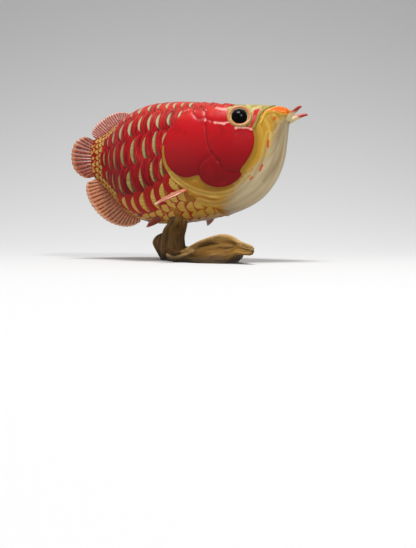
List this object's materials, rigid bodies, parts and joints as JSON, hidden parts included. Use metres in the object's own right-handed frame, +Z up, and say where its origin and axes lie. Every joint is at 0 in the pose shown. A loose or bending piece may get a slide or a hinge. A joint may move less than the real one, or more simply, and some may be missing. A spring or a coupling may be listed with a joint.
{
  "type": "painted arowana figurine on driftwood stand",
  "caption": "Painted plastic figurine of a red Asian arowana with large relief scales, short fins and forked chin barbels, held up on a driftwood-shaped stand.",
  "frame": {"origin": "on the floor under the middle of the figurine's box", "axes": "+X toward the snout, +Y to the fish's left, +Z up"},
  "size_m": [0.1046, 0.0508, 0.0691],
  "materials": {
    "head_paint": "glossy red paint on the gill covers and cheeks, cream and yellow on the throat, olive on the crown",
    "scale_paint": "glossy red scale rims with grey-green and yellow crescents",
    "fin_paint": "satin brick red over pale rays",
    "pectoral_paint": "satin orange pink",
    "pelvic_paint": "satin dark red brown",
    "barbel_paint": "satin coral red",
    "eye_paint": "high gloss black",
    "wood_paint": "satin brown and ochre dry-brushed paint"
  },
  "bodies": {
    "root": {"head": "head_paint", "torso": "scale_paint", "tail": "scale_paint", "dorsal_fin": "fin_paint", "caudal_fin": "fin_paint", "anal_fin": "fin_paint", "pectoral_fin_left": "pectoral_paint", "pectoral_fin_right": "pectoral_paint", "pelvic_fin_left": "pelvic_paint", "pelvic_fin_right": "pelvic_paint", "barbel_left": "barbel_paint", "barbel_right": "barbel_paint", "eye_left": "eye_paint", "eye_right": "eye_paint", "stand_driftwood": "wood_paint"}
  },
  "joints": []
}
